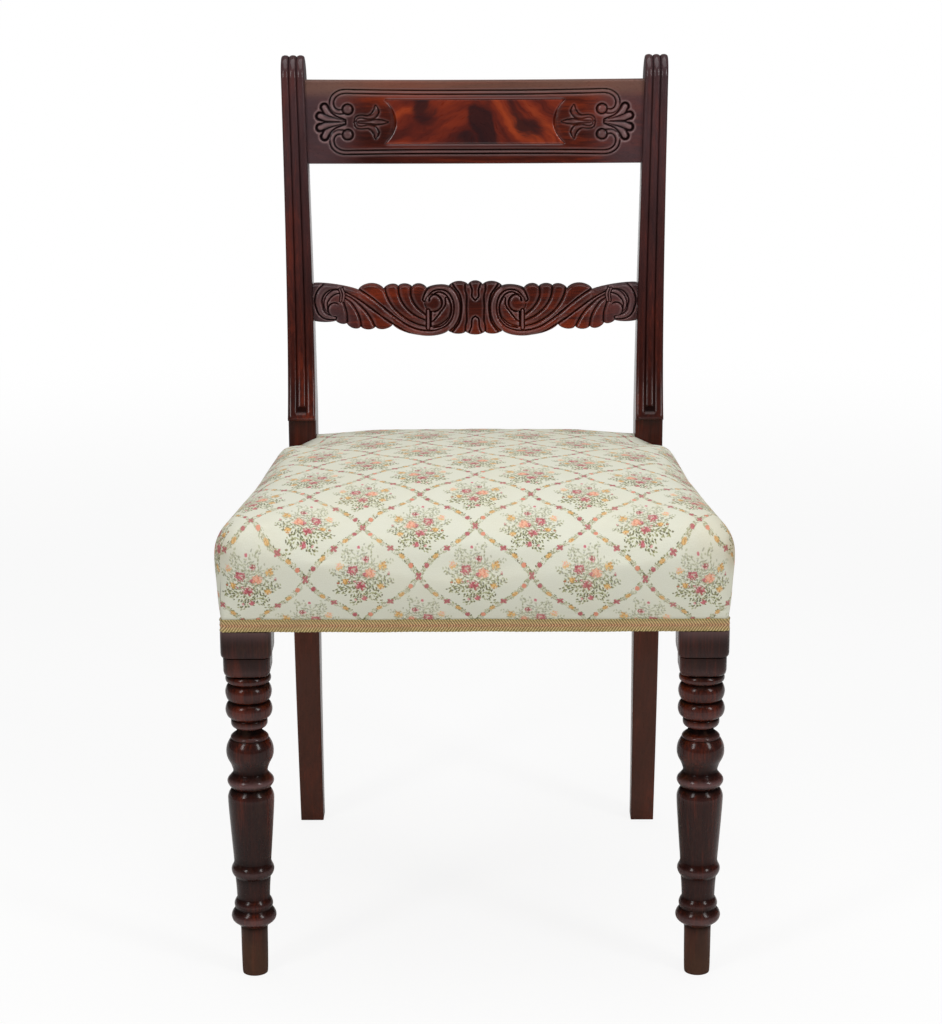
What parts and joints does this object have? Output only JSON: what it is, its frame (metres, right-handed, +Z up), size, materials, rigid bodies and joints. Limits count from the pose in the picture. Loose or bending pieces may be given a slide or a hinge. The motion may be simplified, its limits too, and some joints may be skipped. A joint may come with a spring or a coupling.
{
  "type": "dining side chair",
  "caption": "Regency side chair: reeded scroll-over back posts, carved crest and mid rails with a flame veneer tablet, turned front legs, sabre rear legs, stuffed-over fabric seat.",
  "frame": {"origin": "middle of the chair's box at floor level, midway between the seat front and the back of the scrolls", "axes": "+Z up from the floor, +Y towards the back of the chair, +X to the right as seen from the front"},
  "size_m": [0.4946, 0.4998, 0.85],
  "materials": {
    "mahogany": "old French polish, dark red-brown, glossy with rubbed edges",
    "leg_mahogany": "turned mahogany, polished rings and dull worn feet",
    "flame_veneer": "flame-figured mahogany veneer, glossy",
    "beech": "unpolished beech, planed and aged",
    "iron_screw": "dull old iron",
    "jute": "woven jute webbing and hessian",
    "horsehair": "curled hair and linen scrim",
    "figured_silk": "cream furnishing fabric with an ogee trellis of leaves and small bouquets",
    "braid": "woven ochre braid with a salmon stripe and olive edges"
  },
  "bodies": {
    "root": {"right_back_post": "mahogany", "left_back_post": "mahogany", "crest_rail": "mahogany", "crest_flame_panel": "flame_veneer", "carved_mid_rail": "mahogany", "right_front_leg": "leg_mahogany", "left_front_leg": "leg_mahogany", "front_seat_rail": "beech", "rear_seat_rail": "beech", "right_side_seat_rail": "beech", "left_side_seat_rail": "beech", "right_front_corner_block": "beech", "left_front_corner_block": "beech", "right_front_block_screw_1": "iron_screw", "left_front_block_screw_1": "iron_screw", "right_front_block_screw_2": "iron_screw", "left_front_block_screw_2": "iron_screw", "right_rear_corner_block": "beech", "left_rear_corner_block": "beech", "right_rear_block_screw_1": "iron_screw", "left_rear_block_screw_1": "iron_screw", "right_rear_block_screw_2": "iron_screw", "left_rear_block_screw_2": "iron_screw", "webbing_lengthwise_1": "jute", "webbing_lengthwise_2": "jute", "webbing_lengthwise_3": "jute", "webbing_crosswise_1": "jute", "webbing_crosswise_2": "jute", "webbing_crosswise_3": "jute", "base_hessian": "jute", "seat_stuffing": "horsehair", "seat_cover": "figured_silk", "front_braid": "braid", "rear_braid": "braid"}
  },
  "joints": []
}
